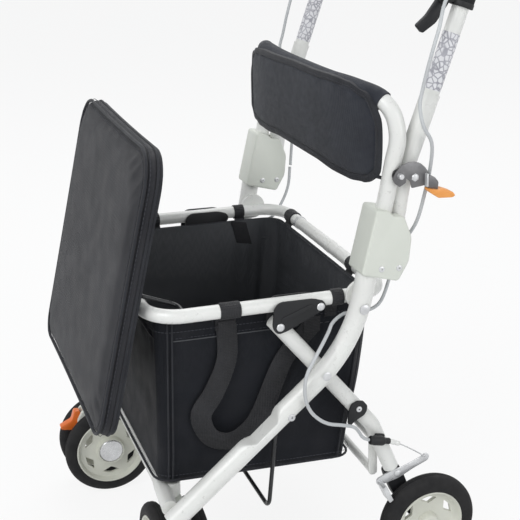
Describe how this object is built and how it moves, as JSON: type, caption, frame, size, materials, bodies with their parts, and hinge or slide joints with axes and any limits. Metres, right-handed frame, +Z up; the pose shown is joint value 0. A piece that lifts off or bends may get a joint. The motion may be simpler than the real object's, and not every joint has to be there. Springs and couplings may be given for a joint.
{
  "type": "shopping trolley with seat",
  "caption": "Folding tube-frame shopping trolley with an open bag under a hinged padded seat lid, backrest, push handle, hand brakes and swivel casters.",
  "frame": {"origin": "centre of the bounding box on the floor", "axes": "+X the trolley's own left, -Y its front where the lid stands open, +Z up"},
  "size_m": [0.524, 0.5859, 0.8998],
  "materials": {
    "white_paint": "gloss enamel",
    "zinc_steel": "zinc plated",
    "cream_plastic": "moulded, fine grain",
    "black_plastic": "moulded, fine grain",
    "tyre_rubber": "matt rubber",
    "grip_foam": "soft foam",
    "pad_fabric": "coated woven cloth",
    "bag_fabric": "woven nylon",
    "orange_plastic": "moulded",
    "cable_sheath": "smooth sheath",
    "black_wire": "coated wire"
  },
  "bodies": {
    "frame": {"front_leg_left": "white_paint", "front_leg_right": "white_paint", "front_cross_tube": "white_paint", "backrest_tube": "white_paint", "backrest_pad": "pad_fabric", "hinge_housing_left": "cream_plastic", "hinge_housing_right": "cream_plastic", "seat_pivot_bolt_left": "zinc_steel", "seat_pivot_bolt_right": "zinc_steel", "scissor_bolt_left": "zinc_steel", "scissor_bolt_right": "zinc_steel", "bag_support_wire": "zinc_steel", "brake_cable_lower_left": "cable_sheath", "brake_cable_lower_right": "cable_sheath"},
    "rear_legs": {"rear_leg_left": "white_paint", "rear_leg_right": "white_paint", "rear_cross_frame": "white_paint", "wheel_bracket_left": "black_plastic", "wheel_bracket_right": "black_plastic", "cable_adjuster_left": "black_plastic", "cable_adjuster_right": "black_plastic"},
    "seat_frame": {"seat_tube": "white_paint", "bag": "bag_fabric"},
    "fold_links": {"fold_link_left": "black_plastic", "fold_link_right": "black_plastic"},
    "lid_arm": {"lid_arm_wire": "black_wire"},
    "lid": {"lid_board": "black_plastic", "lid_cushion": "pad_fabric"},
    "handle": {"handle_lower_left": "white_paint", "handle_lower_right": "white_paint", "brake_cable_upper_left": "cable_sheath", "brake_cable_upper_right": "cable_sheath"},
    "handle_top": {"handle_upper_left": "white_paint", "handle_upper_right": "white_paint", "handle_grip": "grip_foam"},
    "hand_lever_left": {"hand_lever_left": "black_plastic"},
    "latch_left": {"latch_plate_left": "zinc_steel", "latch_tab_left": "orange_plastic"},
    "brake_arm_left": {"brake_arm_left": "zinc_steel"},
    "rear_wheel_left": {"rear_tyre_left": "tyre_rubber", "rear_rim_left": "cream_plastic"},
    "caster_left": {"caster_fork_left": "cream_plastic"},
    "caster_lock_left": {"caster_lock_left": "orange_plastic"},
    "caster_wheel_outer_left": {"caster_tyre_outer_left": "tyre_rubber", "caster_rim_outer_left": "cream_plastic"},
    "caster_wheel_inner_left": {"caster_tyre_inner_left": "tyre_rubber", "caster_rim_inner_left": "cream_plastic"},
    "hand_lever_right": {"hand_lever_right": "black_plastic"},
    "latch_right": {"latch_plate_right": "zinc_steel", "latch_tab_right": "orange_plastic"},
    "brake_arm_right": {"brake_arm_right": "zinc_steel"},
    "rear_wheel_right": {"rear_tyre_right": "tyre_rubber", "rear_rim_right": "cream_plastic"},
    "caster_right": {"caster_fork_right": "cream_plastic"},
    "caster_lock_right": {"caster_lock_right": "orange_plastic"},
    "caster_wheel_outer_right": {"caster_tyre_outer_right": "tyre_rubber", "caster_rim_outer_right": "cream_plastic"},
    "caster_wheel_inner_right": {"caster_tyre_inner_right": "tyre_rubber", "caster_rim_inner_right": "cream_plastic"}
  },
  "joints": [
    {"name": "x_fold", "type": "hinge", "parent": "frame", "child": "rear_legs", "pos_m": [0, 0.0056, 0.336], "axis": [-1, 0, 0], "range_deg": [0, 30], "deforming": ["brake_cable_lower_left", "brake_cable_lower_right"]},
    {"name": "seat_fold", "type": "hinge", "parent": "frame", "child": "seat_frame", "pos_m": [0, 0.0566, 0.424], "axis": [-1, 0, 0], "range_deg": [0, 57.5]},
    {"name": "link_fold", "type": "hinge", "parent": "seat_frame", "child": "fold_links", "pos_m": [0, 0.0056, 0.425], "axis": [1, 0, 0], "range_deg": [0, 85.2]},
    {"name": "lid_arm_swing", "type": "hinge", "parent": "seat_frame", "child": "lid_arm", "pos_m": [0, -0.1726, 0.429], "axis": [-1, 0, 0], "range_deg": [0, 152]},
    {"name": "lid_tilt", "type": "hinge", "parent": "lid_arm", "child": "lid", "pos_m": [0, -0.2244, 0.449], "axis": [1, 0, 0], "range_deg": [0, 74.3]},
    {"name": "handle_fold", "type": "hinge", "parent": "frame", "child": "handle", "pos_m": [0, 0.1006, 0.48], "axis": [-1, 0, 0], "range_deg": [0, 120], "deforming": ["brake_cable_upper_left", "brake_cable_upper_right"]},
    {"name": "handle_height", "type": "slide", "parent": "handle", "child": "handle_top", "axis": [0, 0.3203, 0.9473], "range_m": [0, 0.055]},
    {"name": "hand_lever_left", "type": "hinge", "parent": "handle_top", "child": "hand_lever_left", "pos_m": [0.225, 0.1596, 0.819], "axis": [-1, 0, 0], "range_deg": [0, 17], "stiffness_Nm_per_rad": 0.5, "springref_deg": -11.46},
    {"name": "brake_arm_left", "type": "hinge", "parent": "rear_legs", "child": "brake_arm_left", "pos_m": [0.2149, 0.1316, 0.151], "axis": [1, 0, 0], "range_deg": [0, 2.6]},
    {"name": "latch_left", "type": "hinge", "parent": "handle", "child": "latch_left", "pos_m": [0.251, 0.1196, 0.597], "axis": [-1, 0, 0], "range_deg": [0, 30], "stiffness_Nm_per_rad": 0.05, "springref_deg": -17.19},
    {"name": "rear_wheel_left", "type": "hinge", "parent": "rear_legs", "child": "rear_wheel_left", "pos_m": [0.228, 0.1756, 0.073], "axis": [1, 0, 0], "continuous": true},
    {"name": "caster_swivel_left", "type": "hinge", "parent": "frame", "child": "caster_left", "pos_m": [0.162, -0.1884, 0.16], "axis": [0, 0, 1], "continuous": true},
    {"name": "caster_lock_left", "type": "hinge", "parent": "caster_left", "child": "caster_lock_left", "pos_m": [0.231, -0.1884, 0.112], "axis": [0, 1, 0], "range_deg": [0, 25]},
    {"name": "caster_wheel_outer_left", "type": "hinge", "parent": "caster_left", "child": "caster_wheel_outer_left", "pos_m": [0.186, -0.1619, 0.073], "axis": [0, 1, 0], "continuous": true},
    {"name": "caster_wheel_inner_left", "type": "hinge", "parent": "caster_left", "child": "caster_wheel_inner_left", "pos_m": [0.186, -0.2149, 0.073], "axis": [0, 1, 0], "continuous": true},
    {"name": "hand_lever_right", "type": "hinge", "parent": "handle_top", "child": "hand_lever_right", "pos_m": [-0.225, 0.1596, 0.819], "axis": [-1, 0, 0], "range_deg": [0, 17], "stiffness_Nm_per_rad": 0.5, "springref_deg": -11.46},
    {"name": "brake_arm_right", "type": "hinge", "parent": "rear_legs", "child": "brake_arm_right", "pos_m": [-0.2149, 0.1316, 0.151], "axis": [1, 0, 0], "range_deg": [0, 2.6]},
    {"name": "latch_right", "type": "hinge", "parent": "handle", "child": "latch_right", "pos_m": [-0.251, 0.1196, 0.597], "axis": [-1, 0, 0], "range_deg": [0, 30], "stiffness_Nm_per_rad": 0.05, "springref_deg": -17.19},
    {"name": "rear_wheel_right", "type": "hinge", "parent": "rear_legs", "child": "rear_wheel_right", "pos_m": [-0.228, 0.1756, 0.073], "axis": [1, 0, 0], "continuous": true},
    {"name": "caster_swivel_right", "type": "hinge", "parent": "frame", "child": "caster_right", "pos_m": [-0.162, -0.1884, 0.16], "axis": [0, 0, 1], "continuous": true},
    {"name": "caster_lock_right", "type": "hinge", "parent": "caster_right", "child": "caster_lock_right", "pos_m": [-0.162, -0.2574, 0.112], "axis": [1, 0, 0], "range_deg": [0, 25]},
    {"name": "caster_wheel_outer_right", "type": "hinge", "parent": "caster_right", "child": "caster_wheel_outer_right", "pos_m": [-0.1885, -0.2124, 0.073], "axis": [1, 0, 0], "continuous": true},
    {"name": "caster_wheel_inner_right", "type": "hinge", "parent": "caster_right", "child": "caster_wheel_inner_right", "pos_m": [-0.1355, -0.2124, 0.073], "axis": [1, 0, 0], "continuous": true}
  ],
  "couplings": [
    {"joint": "seat_fold", "follows": "x_fold", "ratio": 1.914},
    {"joint": "link_fold", "follows": "x_fold", "ratio": 2.836},
    {"joint": "lid_tilt", "follows": "lid_arm_swing", "ratio": 0.4888},
    {"joint": "brake_arm_left", "follows": "hand_lever_left", "ratio": 0.15},
    {"joint": "brake_arm_right", "follows": "hand_lever_right", "ratio": 0.15}
  ]
}
